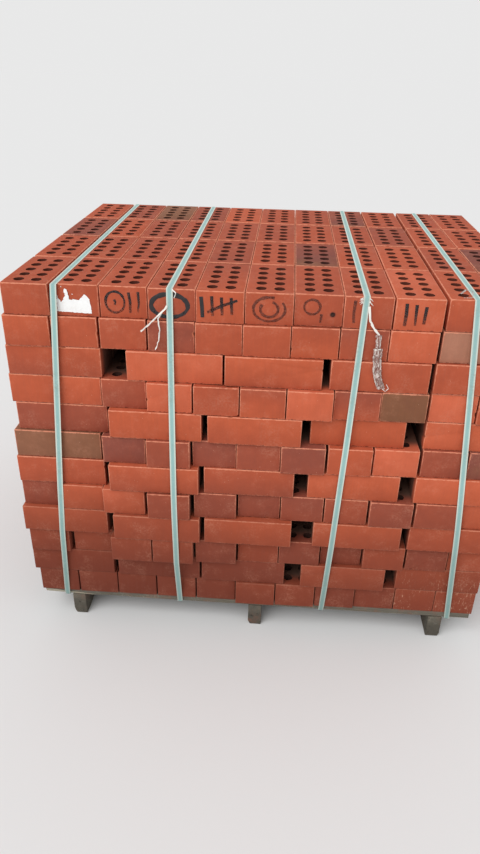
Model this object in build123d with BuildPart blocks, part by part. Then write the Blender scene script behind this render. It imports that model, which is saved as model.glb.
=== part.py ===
# A strapped pack of cored clay bricks, standing on its timber pallet.
# The origin is at floor level under the middle of the pack, X runs along its front and -Y is the front.

import os
from itertools import cycle

from build123d import *

os.makedirs("parts", exist_ok=True)

# Bricks, in millimetres
brick_length = 230.0
brick_width = 110.0
brick_height = 76.0

# Round cores, in two rows along each brick
core_radius = 13.0
core_sides = 16  # sides of the cores that are cut as plain prisms
cores_across = 2
cores_along = 5
core_pitch_across = 42.0
core_pitch_along = 41.0
cored_rows = 1  # rows of the top course, from the front, whose bricks have their cores cut

# Cores of the front row with a true round wall: column, place across the brick, place along it
round_cores = [
    (1, 0, 2), (2, 1, 2), (3, 0, 2), (4, 1, 1), (5, 1, 3), (6, 0, 2),
    (6, 1, 2), (7, 0, 2), (8, 1, 3), (9, 0, 2), (10, 0, 2), (11, 1, 2),
]

# The pack: how many headers deep it is, and the joint between two of them end to end
header_rows = 4
row_joint = 10.0

# Each course from the bottom up: how its bricks lie, where its left end is, the open joints
# between its columns, and how far each brick of its front row stands back from the face (minus is out)
courses = [
    ("headers", -616, [3, 2, 3, 3, 2, 2, 2, 2, 2, 1], [3, 3, 4, 4, 5, -8, -4, 2, 9, 9, 9]),
    ("stretchers", -628, [13, 6, 45, 33], [2, 0, -2, -6, 9]),
    ("headers", -624, [10, 2, 3, 6, 4, 2, 3, 4, 6, 3], [-8, 3, -31, -31, -20, -5, -4, 8, -5, 2, 9]),
    ("stretchers", -630, [20, 12, 57, 21], [-16, -34, -28, -18, -10]),
    ("headers", -626, [1, 1, 9, 10, 4, 2, 3, 5, 7, 2], [-2, -16, -25, -37, -20, -7, -13, -13, -19, -14, -4]),
    ("stretchers", -627, [15, 13, 35, 39], [-7, -30, -17, -12, -11]),
    ("headers", -624, [1, 6, 4, 5, 1, 1, 6, 4, 8, 4], [-4, -3, -14, -27, -11, -16, -23, -18, -11, -5, -4]),
    ("stretchers", -611, [7, 15, 22, 47], [3, -19, -23, -1, 3]),
    ("headers", -619, [7, 2, 3, 4, 2, 2, 2, 1, 7, 2], [4, 3, -2, -15, -20, -22, -22, -10, -6, 3, -2]),
    ("stretchers", -616, [62, 5, 18, 11], [3, -5, -10, -5, 0]),
    ("headers", -612, [3, 5, 4, 1, 1, 1, 2, 2, 8, 2], [-1, 3, 3, 0, -4, -6, -2, 1, 0, 9, 5]),
    ("headers", -606, [5, 2, 2, 1, 1, 1, 1, 3, 8, 2], [2, 9, 9, 5, 0, 2, 7, 4, 3, 9, 4]),
]

# Pallet
bearer_width = 39.0
bearer_height = 72.0
bearers = {"bearer_left": -512.0, "bearer_middle": 3.0, "bearer_right": 518.0}
board_count = 7
board_length = 1220.0
board_width = 100.0
board_thickness = 19.0
pallet_inset = 8.0  # how far the pallet stands in from the pack's front and back

# Straps: where each crosses the top and where it passes under the deck
strap_width = 15.0
strap_thickness = 0.8
straps = {
    "strap_1": (-481.0, -545.0),
    "strap_2": (-216.0, -214.0),
    "strap_3": (225.0, 192.0),
    "strap_4": (468.0, 549.0),
}

# The torn label: its outline from its lower left corner, and where that corner is
label_thickness = 0.3
label_column = 2
label_inset = 11.0  # from the left side of its brick to its lower left corner
label_foot = 11.0  # from the underside of its brick to that corner
label_outline = [
    (0, 0), (81, -3), (79, 32), (69, 40), (58, 31), (48, 27), (39, 31),
    (32, 28), (30, 47), (24, 55), (21, 49), (22, 36), (14, 28), (10, 20), (3, 41),
]

# Shreds of torn film beside two of the straps: left edge, drop from the top of the pack, width, length
shred_thickness = 0.5
shreds = {"film_shred_left": (-249.0, 71.0, 7.0, 74.0), "film_shred_right": (252.0, 83.0, 22.0, 136.0)}

# Worked out from the sizes above
depth = header_rows * brick_length + (header_rows - 1) * row_joint
reach = -min(min(stands_back) for *_, stands_back in courses)  # the brick that stands out furthest
front = (reach - depth) / 2
back = front + depth
right_end = max(
    left + len(stands_back) * brick_length + sum(joints)
    for kind, left, joints, stands_back in courses if kind == "stretchers"
)
deck_top = bearer_height + board_thickness
pack_top = deck_top + len(courses) * brick_height


def along_and_across(kind):
    """A brick's size along the front and into the pack, for its kind of course."""
    return (brick_width, brick_length) if kind == "headers" else (brick_length, brick_width)


def columns(kind, left, joints):
    """The middle of each column of a course, as many as fit between its left end and the right end."""
    size = along_and_across(kind)[0]
    middles = []
    next_joint = cycle(joints)
    while left + size <= right_end:
        middles.append(left + size / 2)
        left += size + next(next_joint)
    return middles


def rows(kind):
    """The middle of each row of a course, from the front to the back."""
    size = along_and_across(kind)[1]
    count = int((depth + row_joint) // (size + row_joint))
    pitch = (depth - size) / (count - 1)
    return [front + size / 2 + i * pitch for i in range(count)]


def brick_places(kind, left, joints, stands_back):
    """The middle of each brick of a course, row by row, with the front row as it stands."""
    xs, ys = columns(kind, left, joints), rows(kind)
    front_row = [(x, ys[0] + step) for x, step in zip(xs, cycle(stands_back))]
    return [front_row] + [[(x, y) for x in xs] for y in ys[1:]]


def face_at(number, low, high):
    """How far out the face of a course stands between two places along the front."""
    kind, left, joints, stands_back = courses[number - 1]
    half = along_and_across(kind)[0] / 2
    laid = zip(columns(kind, left, joints), cycle(stands_back))
    met = [step for x, step in laid if low < x + half and high > x - half]
    return front + min(met, default=0)


def floor_of(number):
    """The height that a course stands at."""
    return deck_top + (number - 1) * brick_height


def bricks(places, kind, floor):
    """Plain bricks of one kind standing at a height."""
    with BuildPart() as laid:
        with BuildSketch(Plane.XY.offset(floor)):
            with Locations(*places):
                Rectangle(*along_and_across(kind))
        extrude(amount=brick_height)
    return laid


# Courses: the lower ones are rings of bricks round the hidden ones, and the top one is whole
for number, (kind, *layout) in enumerate(courses[:-1], 1):
    places = brick_places(kind, *layout)
    ring = places[0] + places[-1] + [place for row in places[1:-1] for place in (row[0], row[-1])]
    course = bricks(ring, kind, floor_of(number))
    course.part.label = f"course_{number:02d}"
    export_step(course.part, f"parts/course_{number:02d}.step")

# The bricks inside the rings, as one plain stepped core
with BuildPart() as hidden_bricks:
    for number, (kind, left, joints, _) in enumerate(courses[:-1], 1):
        size_x, size_y = along_and_across(kind)
        xs, ys = columns(kind, left, joints)[1:-1], rows(kind)[1:-1]
        with BuildSketch(Plane.XY.offset(floor_of(number))):
            with Locations(((xs[0] + xs[-1]) / 2, (ys[0] + ys[-1]) / 2)):
                Rectangle(xs[-1] - xs[0] + size_x, ys[-1] - ys[0] + size_y)
        extrude(amount=brick_height)
hidden_bricks.part.label = "hidden_bricks"
export_step(hidden_bricks.part, "parts/hidden_bricks.step")

# The top course's front rows, with their cores
top_course = len(courses)
top_kind, *top_layout = courses[-1]
top_places = brick_places(top_kind, *top_layout)
core_xs = [(i - (cores_across - 1) / 2) * core_pitch_across for i in range(cores_across)]
core_ys = [(i - (cores_along - 1) / 2) * core_pitch_along for i in range(cores_along)]
round_places, plain_places = [], []
for row in range(cored_rows):
    for column, (x, y) in enumerate(top_places[row], 1):
        for i, core_x in enumerate(core_xs):
            for j, core_y in enumerate(core_ys):
                is_round = row == 0 and (column, i, j) in round_cores
                (round_places if is_round else plain_places).append((x + core_x, y + core_y))
with BuildPart() as front_rows:
    with BuildSketch(Plane.XY.offset(floor_of(top_course))):
        with Locations(*[place for row in top_places[:cored_rows] for place in row]):
            Rectangle(*along_and_across(top_kind))
        with Locations(*round_places):
            Circle(core_radius, mode=Mode.SUBTRACT)
        with Locations(*plain_places):
            RegularPolygon(core_radius, core_sides, mode=Mode.SUBTRACT)
    extrude(amount=brick_height)
front_rows.part.label = f"course_{top_course:02d}_front"
export_step(front_rows.part, f"parts/course_{top_course:02d}_front.step")

# The top course's other rows
back_places = [place for row in top_places[cored_rows:] for place in row]
back_rows = bricks(back_places, top_kind, floor_of(top_course))
back_rows.part.label = f"course_{top_course:02d}_back"
export_step(back_rows.part, f"parts/course_{top_course:02d}_back.step")

# Deck boards run along the front, from the front edge to the back edge
board_pitch = (depth - 2 * pallet_inset - board_width) / (board_count - 1)
for i in range(board_count):
    with BuildPart() as deck_board:
        with BuildSketch(Plane.XY.offset(bearer_height)):
            with Locations((0, front + pallet_inset + board_width / 2 + i * board_pitch)):
                Rectangle(board_length, board_width)
        extrude(amount=board_thickness)
    deck_board.part.label = f"deck_board_{i + 1}"
    export_step(deck_board.part, f"parts/deck_board_{i + 1}.step")

# Bearers run from front to back under the boards
for name, middle in bearers.items():
    with BuildPart() as bearer:
        with BuildSketch(Plane.XY):
            with Locations((middle, (front + back) / 2)):
                Rectangle(bearer_width, depth - 2 * pallet_inset)
        extrude(amount=bearer_height)
    bearer.part.label = name
    export_step(bearer.part, f"parts/{name}.step")


def taut_line(x_top, x_under):
    """The line that a taut strap takes down the face: it touches only what stands out furthest."""
    points = [(front + pallet_inset, bearer_height), (front + pallet_inset, deck_top)]
    for number in range(1, len(courses) + 1):
        height = floor_of(number)
        x = x_under + (x_top - x_under) * (height - bearer_height) / (pack_top - bearer_height)
        face = face_at(number, x - strap_width, x + strap_width)
        points += [(face, height), (face, height + brick_height)]
    line = []
    for y, z in points:
        while len(line) > 1:
            (y1, z1), (y2, z2) = line[-2:]
            if (y2 - y1) * (z - z1) < (y - y1) * (z2 - z1):
                break
            line.pop()
        line.append((y, z))
    return line


# Straps: the loop seen from the side, cut to the slanting band seen from the front
strap_reach = max(abs(x) for ends in straps.values() for x in ends) + strap_width
for name, (x_top, x_under) in straps.items():
    half = strap_width / 2
    with BuildPart() as strap:
        with BuildSketch(Plane.YZ):
            with BuildLine():
                Polyline(*taut_line(x_top, x_under), (back, pack_top), (back, bearer_height), close=True)
            inside = make_face()
            offset(amount=strap_thickness, kind=Kind.INTERSECTION)
            add(inside, mode=Mode.SUBTRACT)
        extrude(amount=strap_reach, both=True)
        with BuildSketch(Plane.XZ):
            with BuildLine():
                low, high = bearer_height - strap_thickness, pack_top + strap_thickness
                Polyline(
                    (x_under - half, low), (x_under + half, low),
                    (x_top + half, high), (x_top - half, high), close=True,
                )
            make_face()
        extrude(amount=depth, both=True, mode=Mode.INTERSECT)
    strap.part.label = name
    export_step(strap.part, f"parts/{name}.step")

# The torn label lies on the face of a brick of the top course
label_face = front + courses[-1][3][label_column - 1]
label_left = top_places[0][label_column - 1][0] - brick_width / 2 + label_inset
label_floor = floor_of(top_course) + label_foot
with BuildPart() as torn_label:
    with BuildSketch(Plane.XZ.offset(-label_face)):
        with BuildLine():
            Polyline(*[(label_left + x, label_floor + z) for x, z in label_outline], close=True)
        make_face()
    extrude(amount=label_thickness)
torn_label.part.label = "torn_label"
export_step(torn_label.part, "parts/torn_label.step")

# Shreds of film hang against whatever stands out furthest behind them
for name, (left, drop, width, length) in shreds.items():
    first = top_course - int(drop // brick_height)
    last = top_course - int((drop + length) // brick_height)
    face = min(face_at(number, left, left + width) for number in range(last, first + 1))
    with BuildPart() as shred:
        with BuildSketch(Plane.XZ.offset(-face)):
            with Locations((left, pack_top - drop)):
                Rectangle(width, length, align=(Align.MIN, Align.MAX))
        extrude(amount=shred_thickness)
    shred.part.label = name
    export_step(shred.part, f"parts/{name}.step")
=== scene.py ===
# %% [markdown]
# # A pallet of bricks
# A pack of cored clay bricks stands on a low timber pallet with four plastic straps round it.
# The sizes and places of all its pieces are already settled in the frame, so this lesson is about looks:
# worn bricks, sawn timber, ribbed strap, torn paper and film, and then light and a camera.
# The frame comes in first, and everything after it reads its places from there.

# %% Load the frame
import math
import random

import bmesh
import bpy
from mathutils import Matrix, Vector, noise


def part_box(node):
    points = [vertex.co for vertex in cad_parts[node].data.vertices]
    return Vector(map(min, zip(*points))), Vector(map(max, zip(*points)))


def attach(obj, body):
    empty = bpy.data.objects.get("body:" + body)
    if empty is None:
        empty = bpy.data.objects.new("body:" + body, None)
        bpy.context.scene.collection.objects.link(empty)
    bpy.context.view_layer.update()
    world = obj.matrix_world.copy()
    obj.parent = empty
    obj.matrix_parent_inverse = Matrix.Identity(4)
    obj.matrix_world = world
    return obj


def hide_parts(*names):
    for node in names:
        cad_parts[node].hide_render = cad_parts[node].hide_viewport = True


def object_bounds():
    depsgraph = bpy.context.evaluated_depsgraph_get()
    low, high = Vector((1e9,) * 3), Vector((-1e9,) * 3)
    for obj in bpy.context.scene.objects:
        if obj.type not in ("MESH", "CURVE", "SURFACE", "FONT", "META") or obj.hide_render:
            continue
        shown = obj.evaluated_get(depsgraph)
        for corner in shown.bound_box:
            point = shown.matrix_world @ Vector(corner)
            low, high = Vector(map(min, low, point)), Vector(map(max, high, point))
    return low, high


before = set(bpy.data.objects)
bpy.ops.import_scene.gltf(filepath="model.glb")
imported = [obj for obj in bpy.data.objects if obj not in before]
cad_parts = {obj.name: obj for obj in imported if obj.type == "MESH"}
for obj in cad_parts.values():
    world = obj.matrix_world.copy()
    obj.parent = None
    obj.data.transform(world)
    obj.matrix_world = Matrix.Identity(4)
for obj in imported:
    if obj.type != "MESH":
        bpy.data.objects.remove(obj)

size_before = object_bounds()
pack_low, pack_high = Vector(size_before[0]), Vector(size_before[1])
scene = bpy.context.scene
print("the pack measures", [round(v, 3) for v in pack_high - pack_low])

# %% [markdown]
# ## Where each brick lies
# A course is one node that holds many bricks which don't touch. Each brick is an island of its mesh.
# Walking from vertex to vertex along the edges finds one island after another,
# and the box round an island says where that brick lies and which way it runs.

# %% Find the islands of a node
def merged_copy(node, dissolve=False):
    """A bmesh of a node with doubled corners merged, and with faces in one plane joined if asked."""
    bm = bmesh.new()
    bm.from_mesh(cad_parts[node].data)
    bmesh.ops.remove_doubles(bm, verts=bm.verts, dist=1e-6)
    if dissolve:
        bmesh.ops.dissolve_limit(bm, angle_limit=0.01, verts=bm.verts, edges=bm.edges)
    return bm


def islands(node):
    """The box round each separate solid of a node, as its lowest and highest corner."""
    bm = merged_copy(node)
    left, boxes = set(bm.verts), []
    while left:
        front_line = [left.pop()]
        low, high = front_line[0].co.copy(), front_line[0].co.copy()
        while front_line:
            vert = front_line.pop()
            low = Vector(map(min, low, vert.co))
            high = Vector(map(max, high, vert.co))
            for edge in vert.link_edges:
                other = edge.other_vert(vert)
                if other in left:
                    left.remove(other)
                    front_line.append(other)
        boxes.append((low, high))
    bm.free()
    return sorted(boxes, key=lambda box: (round(box[0].y, 2), box[0].x))


def by_x(boxes):
    return sorted(boxes, key=lambda box: box[0].x)


course_nodes = sorted(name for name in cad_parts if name.startswith("course_"))
brick_boxes = {name: islands(name) for name in course_nodes}
any_low, any_high = brick_boxes["course_12_back"][0]
BRICK = Vector(sorted(any_high - any_low, reverse=True))
print({name: len(boxes) for name, boxes in brick_boxes.items()}, "brick", [round(v, 3) for v in BRICK])

# %% [markdown]
# ## The camera
# The camera stands a little right of the middle and above the pack, and looks down at its face.
# Its place was worked out from about a hundred edges of bricks, straps and boards, and is in metres.
# The lens is set for the long side of a tall picture, because the sensor is measured along that side.

# %% Place the camera
PICTURE_HEIGHT, FOCAL_PIXELS = 854, 677.7
camera_data = bpy.data.cameras.new("viewer")
camera_data.sensor_width = 36.0
camera_data.lens = 36.0 * FOCAL_PIXELS / PICTURE_HEIGHT
camera_data.clip_end = 100
camera = bpy.data.objects.new("viewer", camera_data)
scene.collection.objects.link(camera)
down, left_turn, roll = math.radians(28.706), math.radians(3.548), math.radians(1.213)
aim = Vector((-math.sin(left_turn) * math.cos(down), math.cos(left_turn) * math.cos(down), -math.sin(down)))
camera.location = (0.0405, -1.9192, 1.4639)
camera.rotation_mode = "QUATERNION"
camera.rotation_quaternion = aim.to_track_quat("-Z", "Y") @ Matrix.Rotation(roll, 3, "Z").to_quaternion()
scene.camera = camera
print("camera at", [round(v, 3) for v in camera.location], "lens", round(camera_data.lens, 1), "mm")

# %% [markdown]
# ## Helpers for meshes and pieces
# Every piece here is shaped as a bmesh, so a few small helpers take care of what they all need:
# one writes a bmesh to a mesh, one makes it a piece that rides on the part and has a finish, and one
# cuts it with a plane. Edges between faces that meet at a wide angle are marked sharp, and all else
# is shaded smooth.

# %% Define the mesh helpers
def as_mesh(bm, name):
    """Writes a bmesh to a new mesh."""
    mesh = bpy.data.meshes.new(name)
    bm.to_mesh(mesh)
    bm.free()
    return mesh


def as_piece(name, bm, material, slot, *stands_for, sharp=48):
    """Makes a bmesh a piece that rides on the part and stands for some of its nodes."""
    for face in bm.faces:
        face.smooth = True
    for edge in bm.edges:
        if len(edge.link_faces) == 2 and edge.calc_face_angle(0) > math.radians(sharp):
            edge.smooth = False
    piece = bpy.data.objects.new(name, as_mesh(bm, name))
    piece.data.materials.append(material)
    scene.collection.objects.link(piece)
    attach(piece, "root")
    if stands_for:
        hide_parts(*stands_for)
    print(name, sum(len(face.vertices) - 2 for face in piece.data.polygons), "triangles")
    return piece


def along_axis(axis):
    """The direction of an axis, as a vector of length 1."""
    return Vector([float(i == axis) for i in range(3)])


def cut_across(bm, point, normal, drop_outside=False):
    """Cuts a bmesh with a plane, and may drop what lies outside it and close the cut."""
    geometry = bm.verts[:] + bm.edges[:] + bm.faces[:]
    cut = bmesh.ops.bisect_plane(bm, geom=geometry, plane_co=point, plane_no=normal,
                                 clear_outer=drop_outside)
    if not drop_outside:
        return []
    rim = [item for item in cut["geom_cut"] if isinstance(item, bmesh.types.BMEdge)]
    return bmesh.ops.holes_fill(bm, edges=rim)["faces"] if rim else []


# %% [markdown]
# ## Helpers for node trees
# A shader tree is a list of small steps. Each helper adds a step to the tree that is open under the name
# of tree. Most steps are sums, so what comes out of a node is wrapped in a class that turns plus, minus
# and times into Math nodes, and a tree can be written as a formula.
# Colours are picked as they look on a screen, from 0 to 255, and turned into the linear light of a shader.

# %% Define the node helpers
class Wire:
    """The output of a node, with which sums can be written."""

    def __init__(self, socket):
        self.socket = socket

    def __add__(self, other):
        return calc("ADD", self, other)

    def __sub__(self, other):
        return calc("SUBTRACT", self, other)

    def __rsub__(self, other):
        return calc("SUBTRACT", other, self)

    def __mul__(self, other):
        return calc("MULTIPLY", self, other)


def fill(node, inputs):
    """Links a node's inputs to wires, or sets them to plain values."""
    for key, value in inputs.items():
        if isinstance(value, Wire):
            tree.links.new(value.socket, node.inputs[key])
        else:
            node.inputs[key].default_value = value


def step(kind, inputs=None, output=0, **settings):
    """Adds a node with its inputs and settings, and gives one of its outputs."""
    new = tree.nodes.new(kind)
    for key, value in settings.items():
        setattr(new, key, value)
    fill(new, inputs or {})
    return Wire(new.outputs[output])


def calc(operation, *values, clamp=False):
    """The output of a Math node."""
    return step("ShaderNodeMath", dict(enumerate(values)), operation=operation, use_clamp=clamp)


def object_place():
    """The point's place in the part, from its Object coordinates."""
    return step("ShaderNodeTexCoord", output="Object")


def attribute(name, output="Fac"):
    return step("ShaderNodeAttribute", output=output, attribute_name=name)


def parts_of(vector):
    """The three parts of a vector."""
    separate = tree.nodes.new("ShaderNodeSeparateXYZ")
    fill(separate, {0: vector})
    return [Wire(socket) for socket in separate.outputs]


def paint(red, green, blue):
    """A colour as it looks on a screen, as the linear colour a shader wants."""
    def linear(value):
        value /= 255
        return value / 12.92 if value <= 0.04045 else ((value + 0.055) / 1.055) ** 2.4
    return (linear(red), linear(green), linear(blue), 1.0)


def grey(value):
    return (value, value, value, 1.0)


def blend(factor, first, second, mode="MIX"):
    """The output of a Mix node for colours."""
    return step("ShaderNodeMix", {0: factor, 6: first, 7: second}, 2, data_type="RGBA", blend_type=mode)


def ramp(factor, *stops):
    """The colour output of a ramp with the given places and colours."""
    new = tree.nodes.new("ShaderNodeValToRGB")
    fill(new, {"Fac": factor})
    elements = new.color_ramp.elements
    while len(elements) < len(stops):
        elements.new(1.0)
    for element, (place, colour) in zip(elements, stops):
        element.position, element.color = place, colour
    return Wire(new.outputs[0])


def between(value, low, high, from_value=0.0, to_value=1.0):
    """A value stretched from one range to another and held there."""
    inputs = {"Value": value, "From Min": low, "From Max": high, "To Min": from_value, "To Max": to_value}
    return step("ShaderNodeMapRange", inputs, interpolation_type="SMOOTHSTEP")


def noise_of(place, scale, detail=3.0, roughness=0.55, stretch=None):
    """The value of a noise texture, which may be stretched along an axis."""
    if stretch:
        place = step("ShaderNodeMapping", {"Vector": place, "Scale": stretch})
    inputs = {"Vector": place, "Scale": scale, "Detail": detail, "Roughness": roughness}
    return step("ShaderNodeTexNoise", inputs)


def cells(place, scale, **settings):
    """The distance that a Voronoi texture gives."""
    return step("ShaderNodeTexVoronoi", {"Vector": place, "Scale": scale}, "Distance", **settings)


def bump(height, distance, strength):
    """A normal with a height turned into relief."""
    return step("ShaderNodeBump", {"Height": height, "Distance": distance, "Strength": strength})


def finish(name):
    """A new material, with its tree and its Principled shader."""
    made = bpy.data.materials.new(name)
    made.use_nodes = True
    return made, made.node_tree, made.node_tree.nodes["Principled BSDF"]


# %% [markdown]
# ## Effects that several finishes share
# Clay, timber, strap and paper all have a slow, uneven drift of colour, and all have lain in a yard
# where dust settles on them. Each effect is a node group with named sockets, built once here,
# and each material places it with its own scale and strength.

# %% Build the shared groups
VALUE, VECTOR, COLOUR = "NodeSocketFloat", "NodeSocketVector", "NodeSocketColor"


def new_group(name, inputs):
    """A node group with its inputs, as wires, and the node that takes its one colour."""
    group = bpy.data.node_groups.new(name, "ShaderNodeTree")
    for socket, kind, value in inputs:
        made = group.interface.new_socket(name=socket, in_out="INPUT", socket_type=kind)
        if value is not None:
            made.default_value = value
    group.interface.new_socket(name="Colour", in_out="OUTPUT", socket_type=COLOUR)
    wires = [Wire(socket) for socket in group.nodes.new("NodeGroupInput").outputs[:len(inputs)]]
    return group, wires, group.nodes.new("NodeGroupOutput")


def place_group(group, **inputs):
    """Places a group in a material and gives its output."""
    return step("ShaderNodeGroup", inputs, node_tree=group)


ON_WHAT = [("Colour", COLOUR, None), ("Position", VECTOR, None)]

tree, (colour, place, scale, strength), result = new_group(
    "mottle", ON_WHAT + [("Scale", VALUE, 20.0), ("Strength", VALUE, 0.2)])
shade = (noise_of(place, scale, 4.0, 0.62) - 0.5) * strength + 1.0
shades = step("ShaderNodeCombineColor", {0: shade, 1: shade, 2: shade})
fill(result, {"Colour": blend(1.0, colour, shades, "MULTIPLY")})
mottle = tree

tree, (colour, place, amount, dust), result = new_group(
    "yard_dust", ON_WHAT + [("Amount", VALUE, 0.3), ("Dust", COLOUR, paint(172, 150, 130))])
patches = between(noise_of(place, 17.0, 6.0, 0.68), 0.46, 0.72)
fine = between(noise_of(place, 210.0, 3.0), 0.35, 0.68)
fill(result, {"Colour": blend(calc("MULTIPLY", patches * fine, amount, clamp=True), colour, dust)})
yard_dust = tree
print("shared groups", [group.name for group in bpy.data.node_groups])

# %% [markdown]
# ## Fired clay
# Bricks leave the kiln in a range of colours. Most are orange-red, some dull, and those near the fire
# turn plum, brown or tan, often on one side only. They all share one material: each brick carries
# its own tone as an attribute, with a slope along it and a slope up it, and a ramp turns tone into colour.
# A second attribute is the point's place within its brick, which says exactly how near an arris it is,
# and a third is its distance behind the open air. Wind and rain clean the open faces of a pack, but soot,
# dust and damp stay in the joints, so clay that is sheltered gets darker further in: partly that dirt and
# partly painted shade, and the cores are darkened with painted shade alone.
# Handling rubs the arrises pale, and the upper ones are painted paler still as a highlight; along the lower
# ones, where the cutting wire leaves a burr, runs a ragged dark line of painted shade.

# %% Make the clay
TONES = {"bright": 0.04, "red": 0.28, "dull": 0.5, "plum": 0.66, "umber": 0.77, "brown": 0.87, "tan": 0.98}
BLOW_HOLE = (0.1532, -0.4495, 0.9567)
clay, tree, shader = finish("fired_clay")
place = object_place()
sheltered, broken = attribute("sheltered"), attribute("broken")
along, over, up = parts_of(attribute("in_brick", "Vector"))
tone, slope_along, slope_up = parts_of(attribute("kiln", "Vector"))

# How far this point is from the nearest arris: of its three distances to the sides, the middle one
to_sides = [BRICK[axis] / 2 - calc("ABSOLUTE", part) for axis, part in enumerate((along, over, up))]
smaller = calc("MINIMUM", to_sides[0], to_sides[1])
larger = calc("MAXIMUM", to_sides[0], to_sides[1])
from_arris = calc("MAXIMUM", smaller, calc("MINIMUM", larger, to_sides[2]))
facing_up = calc("ABSOLUTE", parts_of(step("ShaderNodeNewGeometry", output="Normal"))[2])
on_wire_cut = between(facing_up, 0.6, 0.85)

# The kiln's colour
slope = slope_along * (along * (2 / BRICK.x)) + slope_up * (up * (2 / BRICK.z))
flashing = (noise_of(place, 15.0, 3.0) - 0.5) * 0.16
fired = tone + slope + flashing
colour = ramp(fired, (0.0, paint(204, 101, 70)), (0.13, paint(191, 91, 59)), (0.28, paint(177, 83, 55)),
              (0.5, paint(154, 76, 56)), (0.66, paint(132, 72, 60)), (0.76, paint(129, 83, 58)),
              (0.88, paint(144, 95, 71)), (1.0, paint(173, 118, 95)))
colour = place_group(mottle, Colour=colour, Position=place, Scale=34.0, Strength=0.3)

# Drag lines of the die run down the sides, and grit shows as small dark and pale points
drag = noise_of(place, 260.0, 3.0, 0.6, (1.0, 1.0, 0.05))
colour = blend(0.35, colour, ramp(drag, (0.3, grey(0.44)), (0.7, grey(0.56))), "OVERLAY")
grit = cells(place, 330.0)
colour = blend(between(grit, 0.16, 0.06) * 0.3, colour, paint(112, 54, 42))
colour = blend(between(cells(place, 55.0), 0.055, 0.03) * 0.55, colour, paint(226, 178, 150))

# Wear on the arrises, made paler on the upper ones as a painted highlight, and a line of painted shade along
# the burr under them
uneven = noise_of(place, 95.0, 4.0, 0.65)
wear_and_highlight_width = between(uneven, 0.3, 0.75, 0.0004, 0.0042)
wear = calc("LESS_THAN", from_arris, wear_and_highlight_width)
soft_wear_and_highlight = between(from_arris, 0.0034, 0.0006)
# Upper arrises are paler than lower ones: painted highlight over the real wear
worn = (wear * 0.5 + soft_wear_and_highlight * 0.5) * between(up, -0.03, 0.03, 0.42, 0.85)
colour = blend(worn, colour, paint(230, 150, 120))
above_foot = up + BRICK.z / 2
# A ragged dark line just above each brick's foot: painted shade of the wire-cut burr
burr_shade_height = between(noise_of(place, 150.0, 3.0, 0.7), 0.4, 0.72, 0.0008, 0.0042)
painted_burr_shade = calc("LESS_THAN", above_foot, burr_shade_height) * 0.62
colour = blend(painted_burr_shade, colour, paint(92, 42, 32))
colour = blend(broken * 0.75, colour, paint(206, 118, 86))

# One brick has a blow hole, where a pebble burst in the kiln. Only a bump presses it in; its dark inside and
# the darker ring round it are painted shade
hole = step("ShaderNodeVectorMath", {0: place, 1: BLOW_HOLE}, "Value", operation="DISTANCE")
ragged_hole = hole + (uneven - 0.5) * 0.004
pit_with_painted_shade = between(ragged_hole, 0.0062, 0.0044)
colour = blend(between(ragged_hole, 0.0092, 0.006) * 0.5, colour, paint(120, 58, 44))
colour = blend(pit_with_painted_shade, colour, paint(40, 20, 18))

# Painted shade makes the clay darker towards the bottom, with a painted shadow low on the left, and a splash
# of pale slurry low on the right is yard dirt
world_x, _, height = parts_of(place)
painted_low_shade = between(height, 0.62, 0.1) * 0.76
painted_left_shadow = between(world_x, 0.18, -0.3, 0.0, 0.2) * between(height, 0.54, 0.32)
colour = blend(painted_low_shade + painted_left_shadow, colour, paint(109, 50, 34))
low_right = between(world_x, 0.30, 0.44) * between(height, 0.30, 0.14)
spots = between(noise_of(place, 170.0, 5.0, 0.75, (1.0, 1.0, 0.35)), 0.54, 0.66)
cloud = between(noise_of(place, 13.0, 2.0), 0.42, 0.6)
colour = blend(low_right * spots * cloud * 0.6, colour, paint(206, 160, 132))
colour = place_group(yard_dust, Colour=colour, Position=place, Amount=0.26, Dust=paint(196, 140, 116))

# Between the bricks the clay gets darker further in, partly dirt and partly painted shade; it starts further
# in on a ledge than on a side, and the cores are darkened with painted shade
starts = between(on_wire_cut, 0.0, 1.0, 0.003, 0.02)
behind = sheltered - starts
colour = blend(between(behind, 0.0, 0.035, 0.0, 0.86), colour, paint(100, 80, 68))
painted_core_shade = between(smaller, 0.006, 0.009) * (1.0 - on_wire_cut)
colour = blend(painted_core_shade * 0.85, colour, paint(58, 31, 26))

# Relief: smooth dragged sides, torn wire-cut tops, rough chips
sides = drag * 0.35 + noise_of(place, 700.0) * 0.3
torn = noise_of(place, 190.0, 5.0, 0.7, (1.0, 0.35, 1.0)) + grit
rough = noise_of(place, 420.0, 5.0, 0.75) * (broken * 3.0 + 0.2)
relief = sides + rough + torn * on_wire_cut - pit_with_painted_shade * 3.0
fill(shader, {"Base Color": colour, "Roughness": between(drag, 0.2, 0.8, 0.74, 0.9),
              "Specular IOR Level": 0.28, "Normal": bump(relief, 0.0011, 0.6)})

# %% [markdown]
# ## One brick
# An extruded brick is a plain block, but nothing on it is quite straight: its corners are a hair out
# of true, its arrises are rounded, and knocks have broken flakes off them. Sculpting would give each brick
# thousands of faces, and there are hundreds of bricks. A knock is better made as kiln-hard clay breaks:
# planes cut a flat flake off a corner, or fence in a short notch on an arris that is then pressed in,
# so even a chipped brick has only a few dozen faces.

# %% Shape a block
ARRIS_RADIUS, OUT_OF_TRUE = 0.0016, 0.0005
NOTCH_FENCE, NOTCH_REACH, NOTCH_LIP = 0.0042, 0.0045, 0.0015


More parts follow.
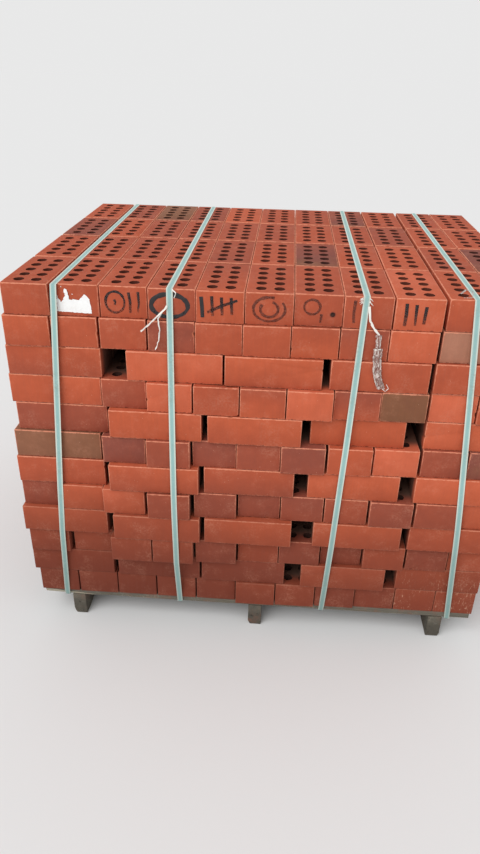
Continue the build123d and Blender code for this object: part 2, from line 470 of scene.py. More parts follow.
def block(size, dice):
    """A block of this size about the origin, with rounded arrises and slightly moved corners."""
    bm = bmesh.new()
    bmesh.ops.create_cube(bm, size=1.0)
    bmesh.ops.scale(bm, vec=size, verts=bm.verts)
    for vert in bm.verts:
        vert.co -= Vector([math.copysign(dice.uniform(0, OUT_OF_TRUE), part) for part in vert.co])
    bmesh.ops.bevel(bm, geom=bm.edges[:], offset=ARRIS_RADIUS, segments=2, profile=0.5, affect="EDGES",
                    material=-1)
    return bm


def knock_off_corner(bm, size, dice):
    """Breaks a small flake off a corner, with two planes that differ a little."""
    signs = Vector([dice.choice((-1, 1)) for _ in range(3)])
    corner = Vector([sign * length / 2 for sign, length in zip(signs, size)])
    outwards = Vector([sign * dice.uniform(0.45, 1.0) for sign in signs]).normalized()
    depth = dice.uniform(0.0015, 0.0036) if dice.random() < 0.94 else dice.uniform(0.004, 0.0055)
    for _ in range(2):
        tilt = Vector([dice.uniform(-0.16, 0.16) for _ in range(3)])
        facing = (outwards + tilt).normalized()
        for face in cut_across(bm, corner - outwards * depth, facing, drop_outside=True):
            face[bm.faces.layers.float["broken"]] = 1.0
        depth *= dice.uniform(0.8, 0.95)


def knock_arris(bm, size, dice):
    """Presses a notch into the middle of an arris, after a few cuts that fence it in."""
    along = dice.randrange(3)
    sides = [axis for axis in range(3) if axis != along]
    signs = {axis: dice.choice((-1, 1)) for axis in sides}
    width, depth = dice.uniform(0.005, 0.014), dice.uniform(0.0012, 0.0026)
    at = dice.uniform(-0.5, 0.5) * (size[along] - 0.04)

    def near(item):
        return all(signs[axis] * item[axis] > size[axis] / 2 - NOTCH_REACH for axis in sides)

    def cut_here(axis, where, fenced):
        faces = [face for face in bm.faces if fenced([near(vert.co) for vert in face.verts])]
        edges = {edge for face in faces for edge in face.edges}
        verts = {vert for face in faces for vert in face.verts}
        normal = along_axis(axis)
        bmesh.ops.bisect_plane(bm, geom=[*verts, *edges, *faces], plane_co=normal * where, plane_no=normal)

    for axis in sides:
        cut_here(axis, signs[axis] * (size[axis] / 2 - NOTCH_FENCE), any)
    for share in (-0.5, -0.15, 0.2, 0.5):
        cut_here(along, at + share * width, all)
    inwards = -sum((signs[axis] * along_axis(axis) for axis in sides), Vector((0, 0, 0)))
    broken = bm.faces.layers.float["broken"]
    for vert in bm.verts:
        off = abs(vert.co[along] - at) / width
        gap = min(size[axis] / 2 - signs[axis] * vert.co[axis] for axis in sides)
        if off < 0.4 and near(vert.co) and gap < NOTCH_LIP:
            vert.co += inwards.normalized() * depth * dice.uniform(0.7, 1.2)
            for face in vert.link_faces:
                if all(near(other.co) and abs(other.co[along] - at) < width for other in face.verts):
                    face[broken] = 1.0


dice = random.Random(5)
trial = block(BRICK, dice)
trial.faces.layers.float.new("broken")
knock_off_corner(trial, BRICK, dice)
knock_arris(trial, BRICK, dice)
print("a chipped brick has", len(trial.faces), "faces")
trial.free()

# %% [markdown]
# ## Cores
# Ten cores run through each brick, from one wire-cut face to the other. They show on the top course
# and on the bricks that lie open under a wide gap. A Boolean drills them all at once, and then the rims
# are pushed about a little, because the wire drags crumbs of clay over each edge as it cuts.

# %% Drill a block
CORE_RADIUS, CORE_SEGMENTS = 0.013, 22
CORES = [Vector(((i - 2) * 0.041, (j - 0.5) * 0.042, 0)) for i in range(5) for j in range(2)]


def drilled(bm, dice):
    """The same block with its cores drilled through it and their rims roughened."""
    drill = bmesh.new()
    for core in CORES:
        bmesh.ops.create_cone(drill, cap_ends=True, segments=CORE_SEGMENTS, radius1=CORE_RADIUS,
                              radius2=CORE_RADIUS, depth=0.2, matrix=Matrix.Translation(core))
    tool = bpy.data.objects.new("drill", as_mesh(drill, "drill"))
    work = bpy.data.objects.new("work", as_mesh(bm, "work"))
    for thing in (tool, work):
        scene.collection.objects.link(thing)
    cut = work.modifiers.new("cores", "BOOLEAN")
    cut.operation, cut.object, cut.solver = "DIFFERENCE", tool, "EXACT"
    bm = bmesh.new()
    bm.from_object(work, bpy.context.evaluated_depsgraph_get())
    for thing in (tool, work):
        bpy.data.objects.remove(thing)
    for vert in bm.verts:
        core = min(CORES, key=lambda c: (vert.co.xy - c.xy).length)
        arm = vert.co.xy - core.xy
        if abs(arm.length - CORE_RADIUS) < 1e-4:
            arm *= dice.uniform(-0.11, 0.03)
            vert.co += Vector((arm.x, arm.y, 0))
    return bm


bare = drilled(block(BRICK, random.Random(7)), random.Random(7))
print("a drilled brick has", len(bare.faces), "faces")
bare.free()

# %% [markdown]
# ## The courses
# Most bricks get a random red, and most of these are a little darker towards their foot, which is painted
# shade;
# the top course gets a duller red, which is painted shadow. Those that the kiln marked are listed by course,
# counted from the bottom, and by column of the front row, each with its tone and how far that shifts along
# it and up it.
# A front brick that lies under a wide gap of the next course shows its top, so it is drilled too.

# %% Build every course
MARKED = {
    12: {1: ("red", 0, 0), 3: ("red", 0, 0), 5: ("red", 0.1, 0), 6: ("red", 0, 0), 7: ("red", -0.04, 0),
         8: ("red", -0.05, 0), 9: ("bright", -0.05, 0), 10: ("red", 0, -0.08)},
    11: {2: ("red", 0, 0), 3: ("red", 0, 0), 4: ("dull", 0, 0), 5: ("red", 0, 0), 6: ("red", 0, 0),
         7: ("red", 0.05, 0.1), 8: ("red", -0.1, 0.1), 9: ("bright", 0, 0), 10: ("tan", 0, 0),
         11: ("tan", 0, 0)},
    10: {2: ("bright", 0, 0), 4: ("red", 0, 0)},
    9: {3: ("dull", 0.04, -0.04), 4: ("bright", 0, 0), 5: ("red", 0, 0), 6: ("red", 0, 0.12),
        7: ("bright", 0, 0), 8: ("red", -0.12, 0.12), 9: ("umber", 0, 0), 10: ("bright", 0.08, 0)},
    8: {1: ("dull", 0, 0)},
    7: {1: ("brown", 0.03, -0.03), 2: ("brown", 0.04, 0), 3: ("plum", 0.04, 0), 4: ("dull", 0.06, 0),
        5: ("plum", 0.1, 0.04), 6: ("dull", 0.02, 0), 7: ("plum", 0.1, 0.02), 8: ("red", 0.04, 0),
        9: ("bright", 0, -0.04), 10: ("dull", 0.05, 0), 11: ("plum", 0, 0)},
    6: {1: ("red", 0, 0)},
    5: {1: ("dull", 0, 0), 5: ("dull", 0, 0), 6: ("dull", -0.04, 0), 7: ("dull", 0, 0.05),
        8: ("dull", 0.12, 0), 9: ("dull", 0, 0), 10: ("dull", 0.04, 0)},
    3: {5: ("dull", 0, 0), 6: ("red", 0, 0), 7: ("dull", 0, 0), 8: ("dull", 0.04, 0), 9: ("red", 0, 0),
        10: ("dull", 0, 0)},
    2: {2: ("dull", 0, 0), 3: ("dull", 0.02, 0)},
    1: {8: ("dull", 0, 0), 9: ("dull", 0.06, 0)},
}
WIDE_GAP, BELLY, FLUSH = 0.03, 0.06, 0.002


def kiln_marks(course_number, column, dice):
    """A brick's tone and its two slopes."""
    if column in MARKED.get(course_number, ()):
        tone, along, up = MARKED[course_number][column]
        return Vector((TONES[tone] + dice.uniform(-0.02, 0.02), along, up))
    if column is None and dice.random() < 0.2:
        tone = TONES[dice.choice(("dull", "dull", "plum", "umber"))]
        return Vector((tone, dice.uniform(-0.12, 0.12), dice.uniform(-0.1, 0.1)))
    # The top course is duller, which is painted shadow, and the slope up is mostly negative, so these bricks
    # are darker towards their foot: painted shade
    tone = dice.triangular(0.2, 0.5, 0.34) if course_number == 12 else dice.triangular(0.0, 0.42, 0.2)
    return Vector((tone, dice.uniform(-0.05, 0.05), dice.uniform(-0.1, 0.02)))


def add_brick(course, low, high, marks, cored, dice, open_sides):
    """Adds one worn brick to a course, in the place of one of the frame's bricks."""
    bm = block(BRICK, dice)
    if cored:
        bm = drilled(bm, dice)
    bm.faces.layers.float.new("broken")
    if open_sides:
        for _ in range(dice.choice((0, 1, 1, 2))):
            knock_off_corner(bm, BRICK, dice)
        for _ in range(0 if cored else dice.choice((0, 1, 1))):
            knock_arris(bm, BRICK, dice)
    in_brick = bm.verts.layers.float_vector.new("in_brick")
    kiln = bm.verts.layers.float_vector.new("kiln")
    for vert in bm.verts:
        vert[in_brick] = vert.co
        vert[kiln] = marks
    if high.x - low.x < high.y - low.y:
        bmesh.ops.rotate(bm, verts=bm.verts, cent=(0, 0, 0), matrix=Matrix.Rotation(math.pi / 2, 3, "Z"))
    bmesh.ops.translate(bm, verts=bm.verts, vec=(low + high) / 2)
    sheltered = bm.verts.layers.float.new("sheltered")
    for vert in bm.verts:
        behind = [abs(vert.co[axis] - side[axis]) for axis, side in open_sides]
        vert[sheltered] = min(behind, default=0.2)
    worn = as_mesh(bm, "worn")
    course.from_mesh(worn)
    bpy.data.meshes.remove(worn)


def front_row(name):
    """The boxes of a course's front row, from left to right."""
    return by_x(box for box in brick_boxes[name] if box[0].y < pack_low.y + BELLY)


def sides_in_the_open(box, boxes, on_top):
    """The sides of a brick that are on the outside of the pack, as axes and corners they pass through."""
    low, high = box
    rim_low = Vector([min(other[0][axis] for other in boxes) for axis in range(3)])
    rim_high = Vector([max(other[1][axis] for other in boxes) for axis in range(3)])
    sides = [(axis, low) for axis, reach in ((0, FLUSH), (1, BELLY)) if low[axis] < rim_low[axis] + reach]
    sides += [(axis, high) for axis in (0, 1) if high[axis] > rim_high[axis] - FLUSH]
    return sides + ([(2, high)] if on_top else [])


def lies_open(box, above):
    """True if a front brick lies under a wide gap of the course above."""
    gaps = [(left[1].x, right[0].x) for left, right in zip(above, above[1:])]
    return any(end - start > WIDE_GAP and box[0].x < end and box[1].x > start for start, end in gaps)


dice = random.Random(41)
for name in course_nodes:
    number = int(name.split("_")[1])
    in_front = front_row(name)
    above = front_row(f"course_{number + 1:02d}") if number < 11 else []
    course = bmesh.new()
    for low, high in brick_boxes[name]:
        column = in_front.index((low, high)) + 1 if (low, high) in in_front else None
        cored = number == 12 or (column is not None and lies_open((low, high), above))
        open_sides = sides_in_the_open((low, high), brick_boxes[name], number == 12)
        add_brick(course, low, high, kiln_marks(number, column, dice), cored, dice, open_sides)
    as_piece("bricks_" + name, course, clay, "clay", name)

# %% [markdown]
# ## The bricks inside
# The middle of the pack is hidden, but dark ends of inner bricks show through the open joints.
# The frame has one plain core there. Real rows take its place, as simple bevelled blocks. The joints run
# straight in for the first rows, which keeps them deep and dark, and are random in the rows behind,
# so that none runs through the pack and lets daylight in.

# %% Fill the middle of each course
def spread(low, high, count, size, dice):
    """Middles of bricks that fill a span in a row, with random joints between them."""
    shares = [dice.random() + 0.2 for _ in range(count - 1)]
    spare = high - low - count * size
    joints = [spare * share / sum(shares) for share in shares]
    return [low + size / 2 + i * size + sum(joints[:i]) for i in range(count)]


inside = bmesh.new()
dice = random.Random(17)
for name in course_nodes[:-2]:
    boxes = brick_boxes[name]
    back_y = max(high.y for low, high in boxes)
    back_row = by_x(box for box in boxes if box[1].y > back_y - FLUSH)
    left_column = [box for box in boxes if box[0].x < back_row[0][0].x + FLUSH]
    left_column.sort(key=lambda box: box[0].y)
    size = back_row[0][1] - back_row[0][0]
    low_x, high_x = back_row[1][0].x, back_row[-2][1].x
    floor_z = back_row[0][0].z
    for low, high in left_column[1:-1]:
        straight = [(box[0].x + box[1].x) / 2 for box in back_row[1:-1]]
        depth_in = (low.y - left_column[0][0].y) / (left_column[-1][0].y - left_column[0][0].y)
        for x in straight if depth_in < 0.45 else spread(low_x, high_x, len(back_row) - 2, size.x, dice):
            half = Vector((size.x / 2, size.y / 2, 0))
            middle = Vector((x, (low.y + high.y) / 2, floor_z))
            add_brick(inside, middle - half, middle + half + Vector((0, 0, size.z)),
                      kiln_marks(0, None, dice), False, dice, [])
as_piece("hidden_bricks_laid", inside, clay, "clay", "hidden_bricks")

# %% [markdown]
# ## Strapping
# The straps are polyester or polypropylene bands, rolled flat with a fine embossed weave down the middle
# and two smooth edges, which look paler. Each one slants a little, so it is told across by its slanted
# middle line. The frame's loop already lies taut over the bricks that stand out furthest,
# so a merged copy of it is kept, and only cut lengthwise where the edges begin.

# %% Make the strap's finish
STRAP_HALF_WIDTH = 0.0075
strapping, tree, shader = finish("ribbed_strap")
place = object_place()
across, run, _ = parts_of(attribute("band", "Vector"))
from_middle = calc("ABSOLUTE", across)
colour = ramp(from_middle, (0.0, paint(148, 186, 183)), (0.48, paint(156, 194, 190)),
              (0.66, paint(198, 212, 203)), (0.9, paint(220, 225, 212)), (1.0, paint(192, 200, 190)))
colour = place_group(mottle, Colour=colour, Position=place, Scale=22.0, Strength=0.16)
scuff = between(noise_of(place, 120.0, 5.0, 0.7), 0.6, 0.72)
colour = blend(scuff * 0.4, colour, paint(222, 232, 226))
colour = place_group(yard_dust, Colour=colour, Position=place, Amount=0.4, Dust=paint(140, 132, 116))
low_down = between(parts_of(place)[2], 0.6, 0.1, 0.0, 0.5)
colour = blend(low_down, colour, paint(92, 114, 108))
weave_up = calc("SINE", (across * STRAP_HALF_WIDTH + run) * 3600)
weave_down = calc("SINE", (run - across * STRAP_HALF_WIDTH) * 3600)
weave = weave_up * weave_down * between(from_middle, 0.72, 0.62)
fill(shader, {"Base Color": colour, "Roughness": between(from_middle, 0.6, 0.8, 0.55, 0.38),
              "Normal": bump(weave, 0.00012, 0.5)})

# %% Cut and round the straps
EDGE_CUTS = (-0.86, -0.7, -0.35, 0.0, 0.35, 0.7, 0.86)


def middle_line(bm, low, high):
    """Where the middle of a slanting strap is at the floor, and how far it moves for each metre up."""
    def middle(z):
        xs = [vert.co.x for vert in bm.verts if abs(vert.co.z - z) < 1e-4]
        return (min(xs) + max(xs)) / 2
    lean = (middle(high.z) - middle(low.z)) / (high.z - low.z)
    return middle(low.z) - lean * low.z, lean


for name in sorted(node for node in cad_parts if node.startswith("strap_")):
    bm = merged_copy(name, dissolve=True)
    at_floor, lean = middle_line(bm, *(Vector(corner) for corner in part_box(name)))
    square = Vector((1, 0, -lean)).normalized()
    for cut in EDGE_CUTS:
        cut_across(bm, Vector((at_floor + cut * STRAP_HALF_WIDTH / square.x, 0, 0)), square)
    band = bm.verts.layers.float_vector.new("band")
    for vert in bm.verts:
        offset = vert.co.x - at_floor - lean * vert.co.z
        vert[band] = Vector((offset / STRAP_HALF_WIDTH, vert.co.z + vert.co.y, 0))
    as_piece(name + "_band", bm, strapping, "strapping", name)

# %% [markdown]
# ## Timber
# The pallet is rough-sawn softwood that has stood outdoors: grey on the faces, split along the grain,
# and pale only where a splinter has come away. Boards run one way and bearers the other, so each vertex
# carries its place in its own plank, and the grain follows that. The rings of the tree are circles round
# a pith outside the plank, which gives arcs on the sawn ends and long flames on the faces by itself.

# %% Make the timber
timber, tree, shader = finish("weathered_timber")
place, in_plank = object_place(), attribute("in_plank", "Vector")
along, over, up = parts_of(in_plank)
bend = noise_of(in_plank, 1.0, 2.0, 0.5, (1.6, 9.0, 9.0))
ring = calc("FRACT", calc("SQRT", over * over + up * up) * 210.0 + bend * 5.0)
fibre = noise_of(in_plank, 1.0, 6.0, 0.7, (14.0, 900.0, 900.0))
colour = ramp(ring, (0.0, paint(128, 119, 104)), (0.55, paint(116, 107, 93)), (0.86, paint(82, 75, 65)),
              (1.0, paint(122, 113, 99)))
weather = noise_of(in_plank, 1.0, 5.0, 0.65, (5.0, 60.0, 60.0))
colour = blend(between(weather, 0.3, 0.7, 0.35, 0.9), colour, paint(99, 96, 87))
colour = blend(0.6, colour, ramp(fibre, (0.3, grey(0.36)), (0.7, grey(0.64))), "OVERLAY")
cracks = between(noise_of(in_plank, 1.0, 3.0, 0.5, (3.0, 130.0, 130.0)), 0.66, 0.7)
colour = blend(cracks * 0.8, colour, paint(38, 33, 28))
torn_share = attribute("broken") * between(weather, 0.35, 0.55, 0.35, 0.85)
colour = blend(torn_share, colour, paint(182, 176, 156))
# Painted shade darkens the timber close to the ground
painted_ground_shade = between(parts_of(place)[2], 0.085, 0.03, 0.0, 0.55)
colour = blend(painted_ground_shade, colour, paint(62, 58, 52))
brick_dust = between(noise_of(place, 24.0, 5.0, 0.7), 0.48, 0.7)
colour = blend(brick_dust * 0.35, colour, paint(150, 96, 76))
colour = place_group(yard_dust, Colour=colour, Position=place, Amount=0.45, Dust=paint(168, 162, 146))
saw = calc("SINE", (along + over * 0.25) * 1900)
relief = fibre * 1.2 + saw * 0.08 - cracks * 1.4
fill(shader, {"Base Color": colour, "Roughness": 0.88, "Specular IOR Level": 0.2,
              "Normal": bump(relief, 0.0012, 0.8)})

# %% Saw the boards and bearers
def plank(name, lengthwise, dice, stations, wear, long_splinter=False):
    """A rough plank in the place of a node, with wavy edges, split ends and torn splinters."""
    low, high = (Vector(corner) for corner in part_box(name))
    size, middle = high - low, (low + high) / 2
    bm = bmesh.new()
    bmesh.ops.create_cube(bm, size=1.0)
    bmesh.ops.scale(bm, vec=size, verts=bm.verts)
    bmesh.ops.bevel(bm, geom=bm.edges[:], offset=0.0012, segments=1, profile=0.5, affect="EDGES",
                    material=-1)
    broken = bm.faces.layers.float.new("broken")
    normal, length = along_axis(lengthwise), size[lengthwise]
    for i in range(1, stations):
        at = (i / stations - 0.5) * length + dice.uniform(-0.2, 0.2) * length / stations
        cut_across(bm, normal * at, normal)
    sideways = 1 - lengthwise
    seed = Vector((dice.uniform(0, 50), dice.uniform(0, 50), 0))
    for vert in bm.verts:
        at, aside, up = vert.co[lengthwise], vert.co[sideways], vert.co.z
        wave = noise.noise(Vector((at * 9, aside * 30, up * 60)) + seed)
        fine_wave = noise.noise(Vector((at * 55, aside * 40, up * 90)) + seed)
        push = (abs(wave) + 0.6 * abs(fine_wave)) * wear
        vert.co[sideways] -= math.copysign(push, vert.co[sideways])
        if vert.co.z < 0:
            vert.co.z += 0.5 * push
    for _ in range(dice.choice((3, 4, 5))):
        point = Vector((0, 0, -size.z / 2 + dice.uniform(0.002, 0.006)))
        point[sideways] = dice.choice((-1, 1)) * size[sideways] / 2
        point[lengthwise] = dice.choice((-1, 1)) * size[lengthwise] / 2
        outwards = Vector((0, 0, dice.uniform(-0.6, -0.25)))
        outwards[sideways] = math.copysign(1.0, point[sideways])
        outwards[lengthwise] = math.copysign(dice.uniform(0.02, 0.12), point[lengthwise])
        point -= outwards.normalized() * dice.uniform(0.002, 0.006)
        for face in cut_across(bm, point, outwards.normalized(), drop_outside=True):
            face[broken] = 1.0
    if long_splinter:
        foot = Vector((0, -size.y / 2 + 0.0035, -size.z / 2))
        for face in cut_across(bm, foot, Vector((0.002, -0.75, -0.66)).normalized(), drop_outside=True):
            face[broken] = 0.8
    in_plank = bm.verts.layers.float_vector.new("in_plank")
    pith = Vector((dice.uniform(0.3, 3), dice.uniform(-0.03, 0.03), dice.uniform(0.03, 0.07)))
    for vert in bm.verts:
        vert[in_plank] = Vector((vert.co[lengthwise], vert.co[sideways], vert.co.z)) + pith
    bmesh.ops.translate(bm, verts=bm.verts, vec=middle)
    return as_piece(name + "_sawn", bm, timber, "timber", name, sharp=30)


dice = random.Random(23)
for name in sorted(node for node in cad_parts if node.startswith("deck_board_")):
    at_front = name == "deck_board_1"
    plank(name, 0, dice, 46, 0.0034 if at_front else 0.002, long_splinter=at_front)
for name in ("bearer_left", "bearer_middle", "bearer_right"):
    plank(name, 1, dice, 30, 0.002)

# %% [markdown]
# ## The torn label
# A paper label was pasted on one brick, and someone tore it off: the lower part is left, with a ragged
# white edge and a finger of paper standing up. Its outline is the frame's. Paper is never quite flat,
# so a slanting grid is cut through a merged copy, and noise creases it and lifts it along the tear.

# %% Make the label
LABEL_GRID = 27, 20
paper, tree, shader = finish("torn_paper")
place = object_place()
colour = place_group(mottle, Colour=paint(250, 250, 249), Position=place, Scale=60.0, Strength=0.08)
colour = place_group(yard_dust, Colour=colour, Position=place, Amount=0.35, Dust=paint(206, 196, 184))
crumple = cells(place, 70.0, feature="DISTANCE_TO_EDGE") * 1.5 + noise_of(place, 500.0, 4.0)
fill(shader, {"Base Color": colour, "Roughness": 0.7, "Normal": bump(crumple, 0.0006, 0.6)})

bm = merged_copy("torn_label", dissolve=True)
low, high = (Vector(corner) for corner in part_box("torn_label"))
middle = (low + high) / 2
for i in range(1, LABEL_GRID[0]):
    at = low.x + i * (high.x - low.x) / LABEL_GRID[0]
    cut_across(bm, Vector((at, 0, middle.z)), Vector((1, 0, 0.12)).normalized())
for i in range(1, LABEL_GRID[1]):
    at = low.z + i * (high.z - low.z) / LABEL_GRID[1]
    cut_across(bm, Vector((middle.x, 0, at)), Vector((-0.1, 0, 1)).normalized())

# The vector noise starts from the clock unless it gets a seed
noise.seed_set(20)
for vert in bm.verts:
    lift = max(0.0, (vert.co.z - low.z) / (high.z - low.z) - 0.25)
    curl = 0.5 + noise.noise(vert.co * 55)
    vert.co.y -= 0.0002 + 0.0032 * lift * max(0.0, curl) + 0.0004 * abs(noise.noise(vert.co * 160))
    on_face = Vector((vert.co.x, 0, vert.co.z))
    ragged = noise.noise_vector(on_face * 420) * 0.0013
    ragged += noise.noise_vector(on_face * 150) * 0.005 * min(1, lift * 4)
    vert.co += Vector((ragged.x, 0, ragged.z))

# Scraps of paper that stayed stuck beside it
for x, z, radius in ((-0.4815, 0.9855, 0.0026), (-0.4845, 0.972, 0.0018), (-0.4175, 0.9745, 0.0016),
                     (-0.4105, 0.9655, 0.0012), (-0.441, 0.9795, 0.0011), (-0.4655, 0.9965, 0.0012)):
    lying = Matrix.Translation((x, low.y + 0.00005, z)) @ Matrix.Rotation(math.pi / 2, 4, "X")
    scrap = bmesh.ops.create_cone(bm, cap_ends=True, segments=7, radius1=radius, radius2=radius * 0.9,
                                  depth=0.0003, matrix=lying)
    for vert in scrap["verts"]:
        push = noise.noise_vector(Vector((vert.co.x, 0, vert.co.z)) * 700) * radius * 0.8
        vert.co += Vector((push.x, 0, push.z))
as_piece("torn_label_paper", bm, paper, "label_paper", "torn_label", sharp=60)

# %% [markdown]
# ## Shreds of film
# Two tufts of stretch film hang beside the straps, where the wrapping was pulled off. Film that has been
# pulled hard goes white and twists into a cord, and where it is only crumpled it stays half clear.
# A strip is extruded along its path, one edge at a time, and each new edge is turned and widened
# a little at random, which twists and crumples it. Solidify then gives the strip its two sides.

# %% Make the film and its strips
film, tree, shader = finish("crumpled_film")
stretched = attribute("stretched")
folds = noise_of(object_place(), 330.0, 3.0, 0.6, (1.0, 1.0, 0.16))
# Dark pinkish brown in the hollows of the folds is painted shade, and white on their ridges is painted
# highlight
colour = ramp(folds, (0.36, paint(136, 106, 98)), (0.53, paint(180, 152, 143)), (0.67, paint(246, 238, 232)))
colour = blend(stretched, colour, paint(240, 236, 228))
cover = calc("MAXIMUM", between(folds, 0.42, 0.6, 0.4, 0.82), stretched)
fill(shader, {"Base Color": colour, "Roughness": 0.32, "Alpha": cover, "Normal": bump(folds, 0.0008, 0.6)})


def strip(bm, path, width, dice, twist, whiteness=1.0, thickness=0.0005, taper=0.6, facing=(0, -1, 0)):
    """Extrudes a strip along a path of points, turning and widening its edge at random."""
    facing = Vector(facing)
    stretched = bm.verts.layers.float.get("stretched") or bm.verts.layers.float.new("stretched")
    path = [Vector(point) for point in path]
    ahead = (path[1] - path[0]).normalized()
    side = facing.cross(ahead).normalized()
    start = [bm.verts.new(path[0] + side * width * part) for part in (-0.5, 0.0, 0.5)]
    edges = [bm.edges.new(pair) for pair in zip(start, start[1:])]
    strip_faces = []
    row = start
    for i, point in enumerate(path[1:], 1):
        ahead = (point - path[i - 1]).normalized()
        angle = dice.uniform(-twist, twist)
        side = Matrix.Rotation(angle, 3, ahead) @ facing.cross(ahead).normalized()
        wide = width * dice.uniform(0.7, 1.15) * (1 - (1 - taper) * i / len(path))
        made = bmesh.ops.extrude_edge_only(bm, edges=edges)["geom"]
        strip_faces += [item for item in made if isinstance(item, bmesh.types.BMFace)]
        new = [item for item in made if isinstance(item, bmesh.types.BMVert)]
        new.sort(key=lambda vert: min(range(3), key=lambda k: (row[k].co - vert.co).length))
        for vert, part in zip(new, (-0.5, 0.0, 0.5)):
            vert.co = point + side * wide * part
        new[1].co += facing * dice.uniform(0, 0.25) * wide
        edges = [edge for edge in new[0].link_edges if edge.other_vert(new[0]) is new[1]]
        edges += [edge for edge in new[1].link_edges if edge.other_vert(new[1]) is new[2]]
        row = new
    verts = {vert for face in strip_faces for vert in face.verts}
    for vert in verts:
        vert[stretched] = whiteness
    bmesh.ops.recalc_face_normals(bm, faces=strip_faces)
    bmesh.ops.solidify(bm, geom=strip_faces, thickness=thickness)


def wander(points, pieces, amount, dice):
    """A path with more points between the given ones, each moved a little."""
    path = []
    for start, end in zip(points, points[1:]):
        for i in range(pieces):
            point = Vector(start).lerp(Vector(end), i / pieces)
            path.append(point + Vector([dice.uniform(-amount, amount) for _ in range(3)]))
    return path + [Vector(points[-1])]


def shred(bm, points, pieces, amount, width, twist, **settings):
    """A strip that wanders between points, given as across, out from the face, and up."""
    path = wander([(x, FACE - out, z) for x, out, z in points], pieces, amount, dice)
    strip(bm, path, width, dice, twist, **settings)


top_row = front_row("course_12_front")
FACE = top_row[4][0].y
dice = random.Random(8)
tuft = bmesh.new()
shred(tuft, [(-0.2215, 0.002, 0.963), (-0.243, 0.007, 0.9417), (-0.262, 0.008, 0.9216),
             (-0.284, 0.006, 0.9024)], 4, 0.0006, 0.0052, 0.9, taper=0.8)
shred(tuft, [(-0.2215, 0.002, 0.965), (-0.2425, 0.005, 0.935), (-0.2395, 0.005, 0.9056),
             (-0.243, 0.006, 0.881), (-0.2525, 0.004, 0.858)], 4, 0.0007, 0.0042, 0.9)
shred(tuft, [(-0.209, 0.001, 1.0030), (-0.2, 0.004, 0.996), (-0.205, 0.003, 0.984)], 3, 0.0006, 0.003, 0.9)
as_piece("film_tuft_left", tuft, film, "film", "film_shred_left", sharp=40)

# The right tuft: a cord, two crumpled shreds with stretched white edges and a knot between them, and a tail
tuft = bmesh.new()
shred(tuft, [(0.231, 0.002, 0.982), (0.2364, 0.006, 0.95), (0.247, 0.007, 0.9326), (0.2595, 0.007, 0.918)],
      4, 0.0005, 0.0058, 0.8, taper=1.0)
upper = wander([(0.2595, FACE - 0.008, 0.919), (0.2585, FACE - 0.009, 0.9), (0.2595, FACE - 0.009, 0.882)],
               5, 0.0006, dice)
lower = wander([(0.2605, FACE - 0.009, 0.886), (0.2615, FACE - 0.009, 0.862), (0.264, FACE - 0.010, 0.834),
                (0.2695, FACE - 0.010, 0.809), (0.2785, FACE - 0.010, 0.788)], 6, 0.0007, dice)
for line, offset, width, whiteness in (
        (upper, 0.0, 0.0135, 0.0), (upper, 0.005, 0.003, 0.3), (lower, 0.0, 0.0195, 0.0),
        (lower, -0.0078, 0.0042, 0.6), (lower, 0.0072, 0.0036, 0.5)):
    moved = [point + Vector((offset, -dice.uniform(0, 0.002), 0)) for point in line]
    strip(tuft, moved, width, dice, 0.22, whiteness=whiteness, taper=0.9)
shred(tuft, [(0.253, 0.011, 0.8835), (0.2665, 0.011, 0.8855)], 3, 0.0006, 0.0045, 0.5)
shred(tuft, [(0.281, 0.010, 0.788), (0.2895, 0.009, 0.7805), (0.296, 0.009, 0.789), (0.290, 0.009, 0.7985)],
      4, 0.0004, 0.0022, 0.8)

# Short hairs of film on either side of the strap, and a loop of it on the top beside the fourth strap
for _ in range(12):
    side = dice.choice((-1, 1))
    start = Vector((0.2235 + side * 0.0075, FACE - dice.uniform(0, 0.002), 1.0025 - dice.uniform(0, 0.012)))
    end = start + Vector((side * dice.uniform(0.003, 0.009), -dice.uniform(0, 0.003),
                          dice.uniform(-0.009, 0.0)))
    strip(tuft, wander([start, end], 3, 0.0006, dice), 0.0016, dice, 0.8)
top = pack_high.z - 0.0002
loop = [(0.4385, -0.405, top), (0.4566, -0.373, top), (0.469, -0.386, top + 0.0005), (0.459, -0.431, top),
        (0.439, -0.434, top)]
strip(tuft, wander(loop, 4, 0.0004, dice), 0.0046, dice, 0.1, whiteness=0.45, facing=(0, 0, 1))
as_piece("film_tuft_right", tuft, film, "film", "film_shred_right", sharp=40)

# %% [markdown]
# ## Marker strokes
# Yard hands tally packs with a felt marker on the top course. Here are plain tally strokes and rings,
# broad and black where the pen was fresh and faint where it ran dry. Ink could be painted into the clay's
# material, but then each stroke would need its own distances there. A thin strip laid on the face
# is simpler, and its alpha lets the clay show through where the pen skipped.

# %% Make the ink and draw the strokes
ink, tree, shader = finish("marker_ink")
place, strength = object_place(), attribute("stretched")
skips = noise_of(place, 240.0, 5.0, 0.75)
skipping = (skips - 0.52) * (strength * 1.9 + 0.45)
running_dry = between(strength, 0.26, 0.45) * between(parts_of(place)[2], 0.94, 0.985, -0.32, 0.12)
cover = strength * 1.15 + running_dry + skipping
fill(shader, {"Base Color": ramp(skips, (0.3, paint(24, 22, 25)), (0.7, paint(46, 37, 38))),
              "Roughness": 0.55, "Alpha": calc("MULTIPLY", cover, 0.98, clamp=True)})


def arc(middle, radius_x, radius_z, start, end, pieces=26):
    """Points along part of an ellipse on the face, with angles in turns."""
    angles = [2 * math.pi * (start + (end - start) * i / pieces) for i in range(pieces + 1)]
    return [(middle[0] + radius_x * math.cos(a), middle[1] + radius_z * math.sin(a)) for a in angles]


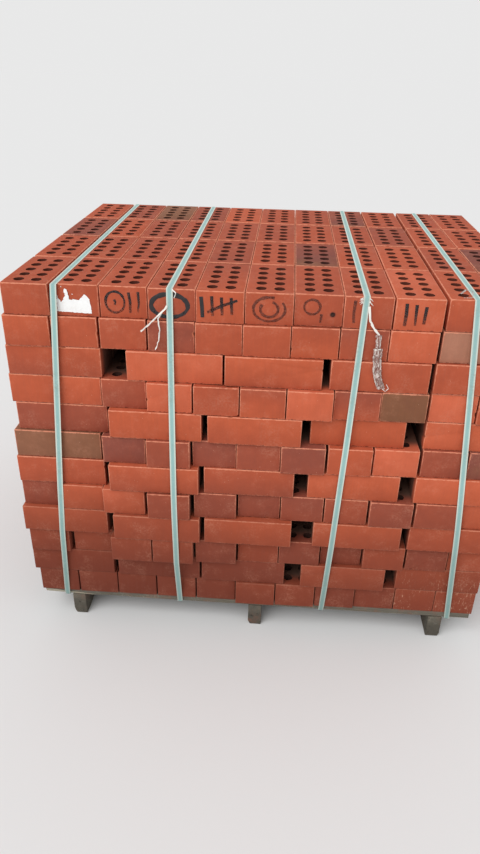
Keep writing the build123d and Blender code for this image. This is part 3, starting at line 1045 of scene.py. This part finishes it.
def draw(column, width, dark, *lines):
    """Draws lines on the face of one brick of the top course, from its lower left corner."""
    low = top_row[column - 1][0]
    for line in lines:
        path = [Vector((low.x + x, low.y - 0.0001, low.z + z)) for x, z in line]
        strip(strokes, path, width, dice, 0.0, whiteness=dark, thickness=0.0003, taper=0.85)


dice = random.Random(12)
strokes = bmesh.new()
draw(3, 0.0065, 0.5, arc((0.036, 0.038), 0.022, 0.025, 0.08, 1.08),
     [(0.034, 0.044), (0.037, 0.038), (0.035, 0.032)], [(0.068, 0.062), (0.071, 0.04), (0.07, 0.014)],
     [(0.09, 0.064), (0.091, 0.036), (0.088, 0.016)])
draw(4, 0.0115, 1.3, arc((0.05, 0.036), 0.042, 0.027, 0.0, 1.02, 34))
draw(5, 0.0085, 1.2, [(0.012, 0.062), (0.014, 0.038), (0.015, 0.014)])
draw(5, 0.0072, 0.42, [(0.036, 0.064), (0.038, 0.018)], [(0.058, 0.062), (0.06, 0.02)],
     [(0.08, 0.062), (0.082, 0.022)], [(0.026, 0.026), (0.058, 0.042), (0.094, 0.056)])
draw(6, 0.0075, 0.24, arc((0.055, 0.038), 0.036, 0.028, 0.2, 1.1, 30),
     arc((0.055, 0.038), 0.02, 0.018, 0.4, 1.2))
draw(7, 0.0065, 0.24, arc((0.04, 0.046), 0.018, 0.017, 0.0, 1.0), [(0.062, 0.03), (0.06, 0.01)])
draw(8, 0.0075, 0.24, [(0.024, 0.066), (0.022, 0.036), (0.024, 0.014)])
draw(9, 0.0075, 0.55, [(0.024, 0.064), (0.025, 0.04), (0.024, 0.012)], [(0.046, 0.062), (0.047, 0.014)],
     [(0.068, 0.058), (0.066, 0.018)])
as_piece("marker_strokes", strokes, ink, "clay", sharp=60)

# %% [markdown]
# ## Floor and light
# The pack stands on a plain pale floor. One broad, soft sun from the upper left and an even sky light it,
# at a level where a colour looks as it was picked. Beyond the floor the camera sees a backdrop
# of the very brightness that this light gives the floor, so no edge shows where the floor ends.

# %% Light the pack
SKY, SUN, SUN_FROM = 0.66, 1.6, Vector((-0.40, -0.60, 0.69)).normalized()
FLOOR = 0.80

ground = bmesh.new()
bmesh.ops.create_grid(ground, x_segments=1, y_segments=1, size=60.0)
floor = bpy.data.objects.new("floor", as_mesh(ground, "floor"))
scene.collection.objects.link(floor)
pale, tree, shader = finish("pale_floor")
fill(shader, {"Base Color": grey(FLOOR), "Roughness": 1.0, "Specular IOR Level": 0.0})
floor.data.materials.append(pale)

sun_data = bpy.data.lights.new("broad_sun", "SUN")
sun_data.energy, sun_data.angle = SUN, math.radians(50)
sun = bpy.data.objects.new("broad_sun", sun_data)
scene.collection.objects.link(sun)
sun.rotation_mode = "QUATERNION"
sun.rotation_quaternion = SUN_FROM.to_track_quat("Z", "Y")

backdrop = FLOOR * (SKY + SUN * SUN_FROM.z / math.pi)
world = bpy.data.worlds.new("studio")
world.use_nodes = True
tree = world.node_tree
seen = step("ShaderNodeLightPath", output="Is Camera Ray")
for ray in ("Is Glossy Ray", "Is Transmission Ray"):
    seen = calc("MAXIMUM", seen, step("ShaderNodeLightPath", output=ray))
fill(tree.nodes["Background"], {"Color": blend(seen, grey(SKY), grey(backdrop)), "Strength": 1.0})
scene.world = world
scene.view_settings.view_transform = "Standard"
print("the backdrop's brightness is", round(backdrop, 3))
